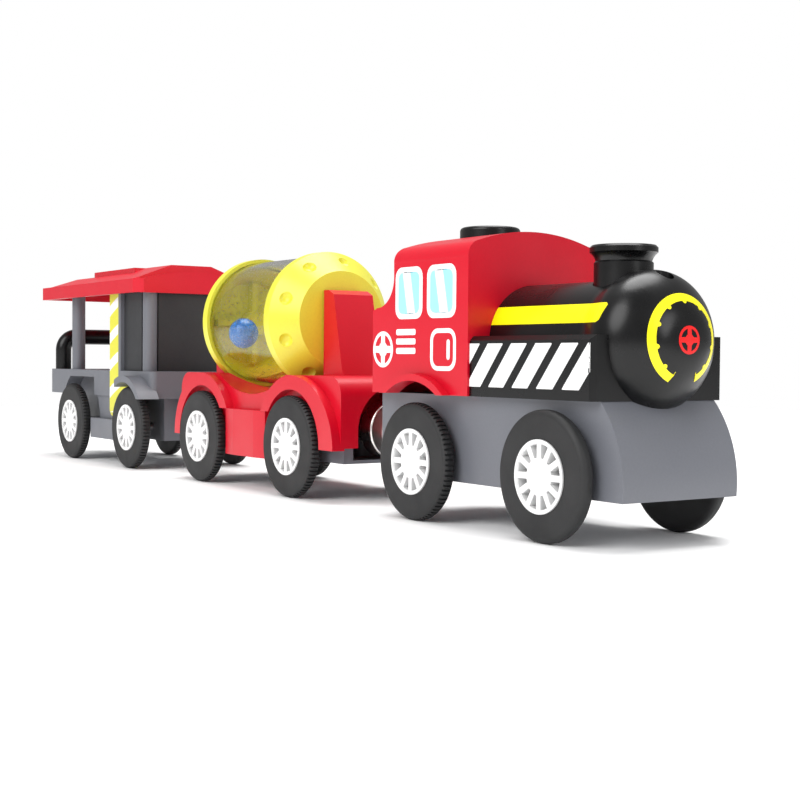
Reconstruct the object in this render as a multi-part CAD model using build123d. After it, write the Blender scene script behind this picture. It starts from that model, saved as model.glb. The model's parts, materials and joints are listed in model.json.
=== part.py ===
from build123d import *
import os
from math import cos, pi, radians, sin

# Battery wooden-railway train: locomotive, drum wagon and roofed wagon, joined by magnets.
# Millimetres. +X is forward, +Z is up, the ground is z = 0 and y = 0 is the mid-plane.

os.makedirs("parts", exist_ok=True)

# ---- wheels and axles -------------------------------------------------------------
wheel_radius = 12.0
wheel_span = 36.9            # over the two hub faces
tyre_width = 2.8
shoulder_radius = 1.1
hub_radius = 6.7
hub_proud = 0.45             # hub dome beyond the tyre face
web_thickness = 0.9          # tyre web behind the hub
hub_boss_radius = 2.2
window_count = 12
window_inner_radius = 3.4
window_outer_radius = 5.9
spoke_width = 1.15
rib_count = 72
rib_gap = 0.42
rib_depth = 0.35
axle_radius = 1.2
axle_clearance = 0.05        # radial, running
seat_clearance = 0.02        # between pieces pressed together
side_clearance = 0.35        # tyre to the body beside it
body_gap = 0.3               # between other moving faces

# ---- train layout -----------------------------------------------------------------
front_overhang = 18.6
loco_wheelbase = 40.7
loco_to_drum = 52.1
drum_wheelbase = 48.0
drum_to_cabin = 48.4
cabin_wheelbase = 46.8
rear_overhang = 31.6

# ---- couplings --------------------------------------------------------------------
magnet_radius = 6.6
magnet_length = 5.2
magnet_height = 16.4
holder_radius = 4.0
pivot_radius = 1.5
pivot_clearance = 0.06
arm_half_width = 2.4
arm_half_height = 2.2
loco_magnet_reach = 33.0     # contact face behind the locomotive's rear axle
drum_rear_reach = 27.7       # contact face behind the drum wagon's rear axle
contact_gap = 0.05
loco_pivot_setback = 20.7    # pivot pin to contact face
wagon_pivot_setback = 14.0
swing_room = 10.2            # half-width and radius of the arch a magnet swings in

# ---- locomotive -------------------------------------------------------------------
chassis_bottom = 8.5
chassis_top = 25.7
chassis_wall = 1.6
chassis_half_width = 13.9
nose_setback = 1.4           # cow-catcher behind the boiler's tip
chassis_rear_overhang = 16.9
cab_front_setback = 23.7     # behind the front axle
cab_length = 33.9
cab_half_width = 16.5
cab_wall = 1.6
cab_step_height = 43.5
cab_step_length = 8.0
cab_eaves = 54.3
cab_crown = 58.2
flange_radius = 17.8
flange_thickness = 1.4
boiler_height = 36.3
boiler_radius = 11.3
head_radius = 12.85
head_middle = 9.0            # widest place of the head, ahead of the axle
boiler_wall = 1.5
side_box_half_width = 16.0
side_box_top = 37.3
side_box_front = 11.6
chimney_x = 1.8
chimney_radius = 5.45
chimney_neck_top = 50.7
chimney_top = 53.9
button_cap_radius = 6.25
button_travel = 1.5
knob_setback = 38.5
knob_stem_radius = 1.7
visor_radius = 3.9
visor_thickness = 1.25
visor_spacing = 17.6
battery_radius = 5.25
battery_length = 44.5
battery_height = 36.0

# ---- gear train, module 0.4 ---------------------------------------------------------
gear_module = 0.4
drive_teeth = 15
worm_tip_radius = 1.9
worm_core_radius = 1.0
worm_turns = 5                # whole turns, so that a gap meets the tooth at mid-length
drive_gear_width = 2.6
tooth_share = 0.36           # tooth thickness over pitch, thin for backlash
flank_slope = 0.36
motor_length = 15.0
motor_radius = 5.6
motor_half_height = 4.2
shaft_radius = 0.5

# ---- drum wagon ---------------------------------------------------------------------
drum_height = 42.1
drum_rim_radius = 17.0
drum_face_radius = 12.0
drum_front_setback = 10.8    # front rim behind the front axle
drum_length = 36.4           # rim to rim
cone_length = 6.3
cap_wall = 1.6
cap_rim_width = 2.6
glass_radius = 16.1
glass_wall = 1.0
dimple_count = 9
dimple_radius = 2.0
dimple_depth = 0.95
ball_radius = 3.8
ball_back = 35.7
ball_side = 10.45
ball_drop = 2.95
red_half_width = 14.8
red_top = 28.7
red_bottom = 12.5
red_front = 19.5
red_rear = 16.9              # behind the rear axle
red_wall = 2.0
valley_depth = 5.0
fender_half_width = 17.0
fender_outer_radius = 16.7
fender_inner_radius = 13.4
fender_end_height = 19.8
upright_half_width = 5.5
upright_top = 49.2
underframe_bottom = 8.8
underframe_top = 16.0
underframe_wall = 1.6
recess_radius = 10.2
recess_depth = 11.5

# ---- roofed wagon -------------------------------------------------------------------
deck_top = 28.5
deck_bottom = 20.6
deck_plate = 2.2
deck_half_width = 14.8
deck_front = 10.6
deck_rear = 27.5             # behind the rear axle
post_radius = 2.1
post_y = 11.9
front_post = 2.9             # ahead of the front axle
rear_post = 8.5              # behind the rear axle
roof_half_width = 17.9
roof_front = 6.6
roof_rear = 26.2
roof_eaves = 51.5
fascia_height = 4.0
roof_plateau = 58.2
roof_block_top = 59.8
roof_thickness = 1.4
roof_corner = 2.4
rail_radius = 2.55
rail_height = 39.3
rail_bend = 4.4
rail_setback = 22.5          # behind the rear axle
rail_y = 12.0
panel_thickness = 0.6
hazard_rear = -21.0
hazard_front = -14.2
hazard_bottom = 14.6
strip_width = 1.8
lower_half_width = 10.0
lower_bottom = 8.3
lower_wall = 1.6
mudguard_inner = 13.3
mudguard_outer = 15.2
mudguard_tail = 6.2          # behind the front axle
mudguard_half_width = 19.4

# ---- screws -------------------------------------------------------------------------
screw_head_radius = 1.9
screw_head_height = 1.0
screw_radius = 0.9
screw_length = 5.0

# ---- worked-out places --------------------------------------------------------------
train_length = (front_overhang + loco_wheelbase + loco_to_drum + drum_wheelbase
                + drum_to_cabin + cabin_wheelbase + rear_overhang)
loco_x = train_length / 2 - front_overhang
loco_rear_x = loco_x - loco_wheelbase
drum_x = loco_rear_x - loco_to_drum
drum_rear_x = drum_x - drum_wheelbase
cabin_x = drum_rear_x - drum_to_cabin
cabin_rear_x = cabin_x - cabin_wheelbase
hub_face = wheel_span / 2
tyre_inner = hub_face - hub_proud - tyre_width
frame_half_width = tyre_inner - side_clearance
bearing_radius = axle_radius + axle_clearance
LOW = (Align.CENTER, Align.CENTER, Align.MIN)


def block(x0, x1, y0, y1, z0, z1):
    corner = (Align.MIN, Align.MIN, Align.MIN)
    return Pos(x0, y0, z0) * Box(x1 - x0, y1 - y0, z1 - z0, align=corner)


def along_x(radius, x0, x1, y=0.0, z=0.0):
    return Pos(x0, y, z) * Rot(0, 90, 0) * Cylinder(radius, x1 - x0, align=LOW)


def along_y(radius, y0, y1, x=0.0, z=0.0):
    return Pos(x, y0, z) * Rot(-90, 0, 0) * Cylinder(radius, y1 - y0, align=LOW)


def along_z(radius, z0, z1, x=0.0, y=0.0):
    return Pos(x, y, z0) * Cylinder(radius, z1 - z0, align=LOW)


def side_profile(face, y0, y1):
    """Extrude a face drawn in x and z from y0 to y1."""
    return Pos(0, y1, 0) * extrude(Plane.XZ * face, amount=y1 - y0)


def end_profile(face, x0, x1):
    """Extrude a face drawn in y and z from x0 to x1."""
    return Pos(x0, 0, 0) * extrude(Plane.YZ * face, amount=x1 - x0)


def turned(*edges):
    """Revolve a face drawn in x and z, with x as the radius, about the z axis."""
    return revolve(Plane.XZ * make_face(Curve() + list(edges)), Axis.Z)


def both_sides(shape):
    """The piece and its mirror image across the mid-plane."""
    return [shape, mirror(shape, about=Plane.XZ)]


def save(name, pieces):
    if not isinstance(pieces, (list, tuple)):
        pieces = [pieces]
    solids = [solid for piece in pieces for solid in piece.solids()]
    export_step(Compound(children=solids), f"parts/{name}.step")


# ---- wheels -------------------------------------------------------------------------
def facing_out(shape, side):
    """Turn a wheel piece drawn with z outward so that it faces the given side."""
    return Pos(0, side * hub_face, 0) * Rot(-90 * side, 0, 0) * shape


def hub_piece():
    web_face = -(hub_proud + tyre_width) + web_thickness
    disc = Pos(0, 0, web_face) * Cylinder(hub_radius, -web_face - 0.35, align=LOW)
    disc += Pos(0, 0, web_face - web_thickness) * Cylinder(hub_boss_radius, web_thickness, align=LOW)
    dome = Pos(0, 0, -hub_face) * Sphere(hub_face) & Cylinder(2.9, 6)
    disc += dome & block(-4, 4, -4, 4, -1.0, 0.5)
    rim = Circle(hub_radius) - Circle(window_outer_radius + 0.15)
    disc += Pos(0, 0, -0.4) * extrude(rim, amount=0.25)
    windows = Circle(window_outer_radius) - Circle(window_inner_radius)
    for index in range(window_count // 2):
        windows -= Rot(0, 0, index * 360 / window_count) * Rectangle(2 * hub_radius, spoke_width)
    disc -= Pos(0, 0, -4) * extrude(windows, amount=5)
    disc -= Pos(0, 0, -4.5) * Cylinder(axle_radius, 3.3, align=LOW)
    return disc


def tyre_piece(ribbed):
    outer = -hub_proud
    inner = outer - tyre_width
    ring = Pos(0, 0, inner) * Cylinder(wheel_radius, tyre_width, align=LOW)
    ring = fillet(ring.edges().filter_by(GeomType.CIRCLE), shoulder_radius)
    ring -= Pos(0, 0, inner + web_thickness) * Cylinder(hub_radius + seat_clearance, 5, align=LOW)
    ring -= Cylinder(hub_boss_radius + seat_clearance, 12)
    if ribbed:
        groove = Pos(wheel_radius, 0, 0) * Box(2 * rib_depth, rib_gap, 12)
        turn = 360 / rib_count
        ring -= [Rot(0, 0, index * turn) * groove for index in range(rib_count)]
    return ring


hub_shape = hub_piece()
ribbed_tyre = tyre_piece(True)
smooth_tyre = tyre_piece(False)


def wheelset(name, x, tyre):
    place = Pos(x, 0, wheel_radius)
    axle_end = hub_face - 1.25
    save(f"{name}_axle", along_y(axle_radius, -axle_end, axle_end, x, wheel_radius))
    save(f"{name}_hubs", [place * facing_out(hub_shape, side) for side in (-1, 1)])
    save(f"{name}_tyres", [place * facing_out(tyre, side) for side in (-1, 1)])


wheelset("loco_front", loco_x, smooth_tyre)
wheelset("loco_drive", loco_rear_x, ribbed_tyre)
wheelset("drum_wagon_front", drum_x, ribbed_tyre)
wheelset("drum_wagon_rear", drum_rear_x, ribbed_tyre)
wheelset("cabin_wagon_front", cabin_x, ribbed_tyre)
wheelset("cabin_wagon_rear", cabin_rear_x, ribbed_tyre)


# ---- couplings ----------------------------------------------------------------------
def coupling(name, contact_x, direction, setback):
    """A plated magnet on a holder that swivels about an upright pin."""
    back = contact_x - direction * magnet_length
    pivot_x = contact_x - direction * setback
    disc = along_x(magnet_radius, min(back, contact_x), max(back, contact_x), 0, magnet_height)
    disc = fillet(disc.edges().filter_by(GeomType.CIRCLE), 0.7)
    low, high = magnet_height - arm_half_height, magnet_height + arm_half_height
    arm = block(min(pivot_x, back), max(pivot_x, back), -arm_half_width, arm_half_width, low, high)
    arm += along_z(holder_radius, low, high, pivot_x)
    arm -= along_z(pivot_radius + pivot_clearance, low - 1, high + 1, pivot_x)
    save(f"{name}_magnet", disc)
    save(f"{name}_magnet_holder", arm)
    return pivot_x


loco_contact_x = loco_rear_x - loco_magnet_reach
drum_contact_x = drum_rear_x - drum_rear_reach
tail_contact_x = -train_length / 2
loco_pivot = coupling("loco", loco_contact_x, -1, loco_pivot_setback)
drum_front_pivot = coupling("drum_wagon_front", loco_contact_x - contact_gap, 1,
                            wagon_pivot_setback)
drum_rear_pivot = coupling("drum_wagon_rear", drum_contact_x, -1, wagon_pivot_setback)
cabin_front_pivot = coupling("cabin_wagon_front", drum_contact_x - contact_gap, 1,
                             wagon_pivot_setback)
tail_pivot = coupling("cabin_wagon_rear", tail_contact_x, -1, wagon_pivot_setback)


def pivot_pin(x, floor):
    """The upright pin a holder turns on, with the shoulder it rests on."""
    low = magnet_height - arm_half_height - body_gap
    pin = along_z(pivot_radius, floor, magnet_height + arm_half_height + 1, x)
    return pin + along_z(pivot_radius + 1, floor, low, x)


def swing_arch(x0, x1):
    """The arched room a magnet and its holder swing in."""
    floor = block(x0, x1, -swing_room, swing_room, 0, magnet_height)
    return floor + along_x(swing_room, x0, x1, 0, magnet_height)


def holder_slot(pivot_x, mouth_x):
    """The low slot a holder turns in, from behind its pin out to the mouth."""
    reach = holder_radius + 0.5
    inner = pivot_x + reach if mouth_x < pivot_x else pivot_x - reach
    low, high = magnet_height - arm_half_height - 0.5, magnet_height + arm_half_height + 1.1
    return block(min(inner, mouth_x), max(inner, mouth_x), -reach, reach, low, high)


# ---- locomotive ---------------------------------------------------------------------
chassis_rear_x = loco_rear_x - chassis_rear_overhang
cab_front_x = loco_x - cab_front_setback
cab_rear_x = cab_front_x - cab_length
nose_x = loco_x + front_overhang
chimney_place = loco_x + chimney_x
knob_x = loco_x - knob_setback
gear_radius = gear_module * drive_teeth / 2
worm_height = wheel_radius + gear_radius + worm_tip_radius - gear_module
worm_pitch = pi * gear_module
worm_length = worm_turns * worm_pitch


def chassis_outline(inset):
    """Side outline, rounded under the tail and swept down at the cow-catcher."""
    rear, low, high = chassis_rear_x + inset, chassis_bottom + inset, chassis_top
    front = nose_x - nose_setback - inset
    tail = ThreePointArc((rear + 3.5, low), (rear + 0.9, low + 3.1), (rear, low + 7.5))
    sweep_front = ThreePointArc((front - 5.8, high), (front - 1.3, low + 10.0), (front, low))
    lines = [Line((rear, low + 7.5), (rear, high)), Line((rear, high), (front - 5.8, high)),
             Line((front, low), (rear + 3.5, low))]
    return make_face(Curve() + [tail, sweep_front] + lines)


def barrel(shrink, back_x):
    """Boiler barrel with its bulging domed head, turned about its own axis."""
    radius, head, tip = boiler_radius - shrink, head_radius - shrink, front_overhang - shrink
    start = back_x - loco_x
    neck = Spline((radius, 2.5), (head, head_middle), tangents=((0, 1), (0, 1)))
    depth = tip - head_middle
    on_ellipse = [(head * cos(radians(turn)), head_middle + depth * sin(radians(turn)))
                  for turn in (0, 32, 51)]
    dome = Spline(*on_ellipse, (0, tip), tangents=((0, 1), (-1, 0)))
    body = turned(Line((0, start), (radius, start)), Line((radius, start), (radius, 2.5)),
                  neck, dome, Line((0, tip), (0, start)))
    return Pos(loco_x, 0, boiler_height) * Rot(0, 90, 0) * body


head_cut_x = loco_x + 8.0
chassis = side_profile(chassis_outline(0), -chassis_half_width, chassis_half_width)
inner_half = chassis_half_width - chassis_wall
tub = side_profile(chassis_outline(chassis_wall), -inner_half, inner_half)
tub &= block(chassis_rear_x, loco_x + 8.4, -20, 20, 0, 30)
chassis -= tub
chassis -= barrel(0, head_cut_x)
cover_rear, cover_front, cover_half = loco_rear_x - 7.0, loco_rear_x + 12.0, 8.0
chassis -= block(cover_rear, cover_front, -cover_half, cover_half, 0, chassis_bottom + chassis_wall)
for x in (loco_x, loco_rear_x):
    chassis -= along_y(bearing_radius, -20, 20, x, wheel_radius)
arm_slot = arm_half_width + 4.0
chassis -= block(chassis_rear_x - 1, chassis_rear_x + 3, -arm_slot, arm_slot,
                 magnet_height - arm_half_height - 0.6, magnet_height + arm_half_height + 0.6)
chassis += pivot_pin(loco_pivot, chassis_bottom + 0.4)
floor_top = chassis_bottom + chassis_wall
boss_x, boss_y = cover_rear + 2.3, 5.4
boss = block(boss_x - 1.8, boss_x + 1.8, boss_y - 1.8, inner_half, floor_top, floor_top + 5)
chassis += both_sides(boss - along_z(screw_radius, 0, 20, boss_x, boss_y))
chassis += block(cover_front + 1, cover_front + 5, -5, 5, floor_top, worm_height - motor_half_height)
save("loco_chassis", chassis)

bulge_radius = gear_radius + gear_module + 1.1
cover = block(cover_rear, cover_front, -cover_half, cover_half, chassis_bottom,
              chassis_bottom + chassis_wall)
cover += along_y(bulge_radius, -2.8, 2.8, loco_rear_x, wheel_radius) & block(
    cover_rear, cover_front, -4, 4, 0, chassis_bottom + 1)
cover -= along_y(bulge_radius - 0.8, -2.0, 2.0, loco_rear_x, wheel_radius)
screw_places = [(boss_x, -boss_y), (boss_x, boss_y)]
for x, y in screw_places:
    cover -= along_z(screw_radius, 0, 20, x, y) + along_z(screw_head_radius + 0.1, 0,
                                                          chassis_bottom + 0.8, x, y)
save("gearbox_cover", cover)


def screw(x, y, head_z):
    head = along_z(screw_head_radius, head_z - screw_head_height, head_z, x, y)
    slot = Pos(x, y, head_z - screw_head_height) * Box(2.2, 0.5, 0.8)
    slot += Pos(x, y, head_z - screw_head_height) * Box(0.5, 2.2, 0.8)
    shank = along_z(screw_radius - seat_clearance, head_z, head_z + screw_length, x, y)
    return head - slot + shank


save("gearbox_screws", [screw(x, y, chassis_bottom + 0.8) for x, y in screw_places])

boiler = barrel(0, cab_front_x)
box_corner = block(cab_front_x, loco_x + side_box_front, -side_box_half_width,
                   side_box_half_width, chassis_top, side_box_top)
outer_edges = box_corner.edges().filter_by(Axis.Z).group_by(Axis.X)[-1]
outer_edges += box_corner.faces().sort_by(Axis.Z)[-1].edges().filter_by(Axis.X)
box_corner = chamfer(outer_edges, 0.9)
boiler += box_corner
box_inside = block(cab_front_x - 1, loco_x + side_box_front - boiler_wall,
                   boiler_wall - side_box_half_width, side_box_half_width - boiler_wall,
                   chassis_top - 1, side_box_top - boiler_wall)
boiler -= barrel(boiler_wall, cab_front_x - 1) + box_inside
boiler -= block(cab_front_x - 1, head_cut_x, -20, 20, 20, chassis_top)
boiler -= along_z(chimney_radius + 0.15, boiler_height, 60, chimney_place)
lens_x, lens_radius = loco_x + 12.4, 1.6
boiler -= along_z(lens_radius, boiler_height + 6, 60, lens_x)
save("boiler", boiler)
lens_low = boiler_height + head_radius - 3.05
save("lamp_lens", along_z(lens_radius - seat_clearance, lens_low, lens_low + 1.0, lens_x))

chimney = Pos(chimney_place, 0, 0) * turned(
    Polyline((0, boiler_height + 8.5), (chimney_radius, boiler_height + 8.5),
             (chimney_radius, chimney_neck_top), (chimney_radius - 0.3, chimney_neck_top + 0.3)),
    ThreePointArc((chimney_radius - 0.3, chimney_neck_top + 0.3),
                  (chimney_radius + 0.1, chimney_neck_top + 1.2),
                  (button_cap_radius, chimney_neck_top + 1.9)),
    Polyline((button_cap_radius, chimney_neck_top + 1.9), (button_cap_radius, chimney_top - 0.4),
             (button_cap_radius - 0.4, chimney_top), (4.3, chimney_top), (3.9, chimney_top - 0.9),
             (0, chimney_top - 0.9), (0, boiler_height + 8.5)))
save("chimney_button", chimney)


def cab_block(inset):
    """Cab with a crowned roof and a concave step down to the rear body."""
    rear, front = cab_rear_x + inset, cab_front_x - inset
    half, low, step_x = cab_half_width - inset, chassis_top - inset, cab_rear_x + cab_step_length
    step_z, crown, eaves = cab_step_height - inset, cab_crown - inset, cab_eaves - inset
    concave = ThreePointArc((rear + 1.6, step_z), (step_x - 1.6 + inset, step_z + 2.1),
                            (step_x + inset, step_z + 7.0))
    bend = ThreePointArc((step_x + inset, crown - 4.5), (step_x + 1.4 + inset, crown - 1.2),
                         (step_x + 4.6 + inset, crown + 0.5))
    outline = [concave, bend,
               Polyline((rear + 1.6, step_z), (rear, step_z - 0.6), (rear, low), (front, low),
                        (front, crown + 0.5), (step_x + 4.6 + inset, crown + 0.5)),
               Line((step_x + inset, step_z + 7.0), (step_x + inset, crown - 4.5))]
    side = side_profile(make_face(Curve() + outline), -20, 20)
    roof = ThreePointArc((-half + 2.6, eaves + 1.7), (0, crown), (half - 2.6, eaves + 1.7))
    corners = [ThreePointArc((-half, eaves - 1.8), (-half + 0.7, eaves + 0.6),
                             (-half + 2.6, eaves + 1.7)),
               ThreePointArc((half, eaves - 1.8), (half - 0.7, eaves + 0.6),
                             (half - 2.6, eaves + 1.7))]
    walls = Polyline((-half, eaves - 1.8), (-half, low), (half, low), (half, eaves - 1.8))
    end = end_profile(make_face(Curve() + [roof, walls] + corners), rear - 1, front + 1)
    return side & end


cab = cab_block(0) - cab_block(cab_wall)
arch = block(cab_rear_x, cab_front_x, -30, 30, chassis_top, 60)
flange_face = hub_face - 0.05
flange = along_y(flange_radius, -flange_face, flange_face, loco_rear_x, wheel_radius)
flange -= block(cab_rear_x - 1, cab_front_x + 1, 1 - cab_half_width, cab_half_width - 1, 0, 60)
cab += flange & arch
cab -= along_y(flange_radius - flange_thickness, -20, 20, loco_rear_x, wheel_radius)
visor_ring = Torus(visor_radius, visor_thickness) & block(-8, 8, 0, 8, -4, 4)
visor_ring += [Pos(side * visor_radius, 0, 0) * Sphere(visor_thickness) for side in (-1, 1)]
for side in (-1, 1):
    place = Pos(cab_front_x + 0.7, side * visor_spacing / 2, cab_eaves - 4.6)
    cab += place * Rot(0, 12, 0) * Rot(0, 90, 0) * Rot(0, 0, 90) * visor_ring
cab -= along_z(button_cap_radius + body_gap, 50, 62, knob_x)
cab -= along_x(battery_radius + 1.6, cab_front_x - 3, cab_front_x + 1, 0, battery_height)
board_low = cab_crown - 10.3
ledge = block(knob_x - 9, knob_x + 9, 10.5, cab_half_width - 1, board_low - 1.2, board_low)
cab += both_sides(ledge)
save("cab", cab)

knob = Pos(knob_x, 0, 0) * turned(
    Polyline((0, cab_crown - 4.0), (knob_stem_radius, cab_crown - 4.0),
             (knob_stem_radius, cab_crown - 2.4), (button_cap_radius, cab_crown - 2.4),
             (button_cap_radius, cab_crown + 1.2)),
    ThreePointArc((button_cap_radius, cab_crown + 1.2), (button_cap_radius - 0.25, cab_crown + 1.7),
                  (button_cap_radius - 0.9, cab_crown + 1.9)),
    Polyline((button_cap_radius - 0.9, cab_crown + 1.9), (0, cab_crown + 1.9),
             (0, cab_crown - 4.0)))
save("roof_button", knob)


# ---- locomotive drive and electrics ---------------------------------------------------
def drive_gear_piece():
    """Straight teeth with flat flanks, thin enough to run free of the worm."""
    tip, root = gear_radius + gear_module, gear_radius - 1.25 * gear_module
    half_tooth = tooth_share * worm_pitch / 2
    half_tip = half_tooth - gear_module * flank_slope
    half_root = half_tooth + (gear_radius - root + 0.3) * flank_slope
    tooth = make_face(Polyline((root - 0.3, -half_root), (tip, -half_tip), (tip, half_tip),
                               (root - 0.3, half_root), close=True))
    profile = Circle(root)
    for index in range(drive_teeth):
        profile += Rot(0, 0, 90 + index * 360 / drive_teeth) * tooth
    profile -= Circle(axle_radius)
    return extrude(profile, amount=drive_gear_width / 2, both=True)


def worm_piece():
    """Single-start worm: a lobed section twisted once for each pitch along the axis."""
    crest, foot = 0.11 * 2 * pi, 0.24 * 2 * pi
    middle, mid_radius = (crest + foot) / 2, (worm_tip_radius + worm_core_radius) / 2

    def polar(radius, angle):
        return (radius * cos(angle), radius * sin(angle))

    top = ThreePointArc(polar(worm_tip_radius, -crest), polar(worm_tip_radius, 0),
                        polar(worm_tip_radius, crest))
    rise = Spline(polar(worm_core_radius, -foot), polar(mid_radius, -middle),
                  polar(worm_tip_radius, -crest))
    fall = Spline(polar(worm_tip_radius, crest), polar(mid_radius, middle),
                  polar(worm_core_radius, foot))
    core = ThreePointArc(polar(worm_core_radius, foot), polar(worm_core_radius, pi),
                         polar(worm_core_radius, -foot))
    section = make_face(Curve() + [top, fall, core, rise]).faces()[0]
    return Solid.extrude_linear_with_rotation(section, center=(0, 0, 0), normal=(0, 0, worm_length),
                                              angle=worm_turns * 360)


save("drive_gear", Pos(loco_rear_x, 0, wheel_radius) * Rot(90, 0, 0) * drive_gear_piece())
worm_rear_x = loco_rear_x - worm_length / 2
motor_rear_x = worm_rear_x + worm_length + 1.2
shaft = along_x(shaft_radius, worm_rear_x, motor_rear_x + motor_length - 1, 0, worm_height)
worm = Pos(worm_rear_x, 0, worm_height) * Rot(0, 90, 0) * worm_piece() - shaft
save("worm", worm)
save("motor_shaft", shaft)
motor = along_x(motor_radius, motor_rear_x, motor_rear_x + motor_length, 0, worm_height)
motor &= block(motor_rear_x, motor_rear_x + motor_length, -10, 10,
               worm_height - motor_half_height, worm_height + motor_half_height)
motor -= along_x(shaft_radius + axle_clearance, motor_rear_x - 1, motor_rear_x + motor_length - 0.9,
                 0, worm_height)
save("motor", motor)

battery_rear_x = loco_x - 31.8
contact_thickness = 0.5
battery = along_x(battery_radius, battery_rear_x, battery_rear_x + battery_length - 1.0, 0,
                  battery_height)
battery = fillet(battery.edges().filter_by(GeomType.CIRCLE), 0.4)
battery += along_x(1.9, battery_rear_x + battery_length - 1.0, battery_rear_x + battery_length, 0,
                   battery_height)
save("battery", battery)
contact = block(0, contact_thickness, -3.2, 3.2, battery_height - 4, battery_height + 3)
contact_rear = battery_rear_x - contact_thickness
contact_front = battery_rear_x + battery_length
save("battery_contacts", [Pos(contact_rear, 0, 0) * contact, Pos(contact_front, 0, 0) * contact])
tray_radius, tray_rear, tray_front = battery_radius + 0.2, contact_rear - 1.2, contact_front + 1.7
tray = along_x(tray_radius + 1.1, tray_rear, tray_front, 0, battery_height)
tray -= along_x(tray_radius, contact_rear, tray_front - 1.2, 0, battery_height)
tray &= block(tray_rear, tray_front, -20, 20, 0, battery_height - 0.5)
for x in (loco_x - 12.0, loco_x + 5.0):
    tray += block(x - 1, x + 1, -inner_half, inner_half, chassis_top - 3, chassis_top + 2.4)
    tray += block(x - 1, x + 1, -4, 4, chassis_top, battery_height - tray_radius - 0.5)
save("battery_tray", tray)
board = block(knob_x - 9, knob_x + 9, -12, 12, board_low, board_low + 1.2)
save("circuit_board", board)
switch_top = cab_crown - 4.1 - button_travel
switch = block(knob_x - 3, knob_x + 3, -3, 3, board_low + 1.2, switch_top - 0.8)
switch += along_z(1.7, switch_top - 0.9, switch_top, knob_x)
save("tact_switch", switch)

# ---- drum wagon -----------------------------------------------------------------------
drum_front_rim = drum_x - drum_front_setback
drum_rear_rim = drum_front_rim - drum_length
drum_front_face = drum_front_rim + cone_length
drum_rear_face = drum_rear_rim - cone_length
red_front_x = drum_x + red_front
red_rear_x = drum_rear_x - red_rear
upright_gap = 0.45
glass_front_x = drum_front_rim - cap_wall
glass_rear_x = drum_rear_rim + cap_wall


def cap_piece():
    """Coned end cap about the z axis, with its face at z = 0 and its rim behind."""
    rim_back = -cone_length - cap_rim_width
    slope = (drum_rim_radius - drum_face_radius) / cone_length
    inside_edge = drum_face_radius - cap_wall * 0.7
    shell = turned(Polyline(
        (0, 0), (drum_face_radius, 0), (drum_rim_radius, -cone_length),
        (drum_rim_radius, rim_back), (glass_radius + seat_clearance, rim_back),
        (glass_radius + seat_clearance, -cone_length - cap_wall),
        (glass_radius - glass_wall - 0.3, -cone_length - cap_wall),
        (inside_edge, -cap_wall), (0, -cap_wall), close=True))
    for turn in (0, 90):
        shell += Rot(0, 0, turn) * block(-inside_edge, inside_edge, -0.8, 0.8, -cap_wall - 2.4,
                                         -cap_wall)
    shell += Pos(0, 0, -cap_wall - 3.2) * Cylinder(3.2, 3.4, align=LOW)
    shell -= Pos(0, 0, -3.6) * Cylinder(pivot_radius + axle_clearance, 5, align=LOW)
    mid_radius = (drum_face_radius + drum_rim_radius) / 2 + 0.2
    mid_z = -(mid_radius - drum_face_radius) / slope
    steep = (1 + slope ** 2) ** 0.5
    out = dimple_radius - dimple_depth
    dimple = Pos(mid_radius + out / steep, 0, mid_z + out * slope / steep) * Sphere(dimple_radius)
    turn = 360 / dimple_count
    return shell - [Rot(0, 0, (index + 0.5) * turn) * dimple for index in range(dimple_count)]


cap_shape = cap_piece()
save("drum_front_cap", Pos(drum_front_face, 0, drum_height) * Rot(0, 90, 0) * Rot(0, 0, -90)
     * cap_shape)
save("drum_rear_cap", Pos(drum_rear_face, 0, drum_height) * Rot(0, -90, 0) * Rot(0, 0, 90)
     * cap_shape)
glass = along_x(glass_radius, glass_rear_x, glass_front_x, 0, drum_height)
glass -= along_x(glass_radius - glass_wall, glass_rear_x - 1, glass_front_x + 1, 0, drum_height)
save("drum_window", glass)
ball_x, ball_z = drum_x - ball_back, drum_height - ball_drop
save("drum_ball", Pos(ball_x, -ball_side, ball_z) * Sphere(ball_radius))
pin_depth = 3.4
pin = along_x(pivot_radius, -upright_gap - 2.4, pin_depth, 0, drum_height)
save("drum_pins", [Pos(drum_rear_face, 0, 0) * pin,
                   mirror(Pos(-drum_front_face, 0, 0) * pin, about=Plane.YZ)])

lower_red = block(red_rear_x, red_front_x, -red_half_width, red_half_width, red_bottom, red_top)
lower_red = fillet(lower_red.edges().filter_by(Axis.Y).group_by(Axis.Z)[-1], 4.5)
valley_front, valley_rear = drum_x - 6.0, drum_rear_x + 6.0
valley_x = (valley_front + valley_rear) / 2
valley_floor = ThreePointArc((valley_rear, red_top), (valley_x, red_top - valley_depth),
                             (valley_front, red_top))
valley_lid = Polyline((valley_rear, red_top), (valley_rear, red_top + 1),
                      (valley_front, red_top + 1), (valley_front, red_top))
valley = make_face(Curve() + [valley_floor, valley_lid])
lower_red -= side_profile(valley, -20, 20)


def fender_outline(x, reach):
    """Arch over a wheel; reach is how far a bumper carries the arch ahead of the axle."""
    z = wheel_radius
    outer, inner = fender_outer_radius, fender_inner_radius
    rise = fender_end_height - z
    outer_end, inner_end = (outer ** 2 - rise ** 2) ** 0.5, (inner ** 2 - rise ** 2) ** 0.5
    diagonal = outer * 0.7071
    back = ThreePointArc((x - outer_end, fender_end_height), (x - diagonal, z + diagonal),
                         (x, z + outer))
    front = EllipticalCenterArc((x, z), reach, outer)
    under = ThreePointArc((x + inner, z), (x, z + inner), (x - inner_end, fender_end_height))
    return make_face(Curve() + [back, front, Line((x + reach, z), (x + inner, z)), under,
                                Line((x - inner_end, fender_end_height),
                                     (x - outer_end, fender_end_height))])


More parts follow.
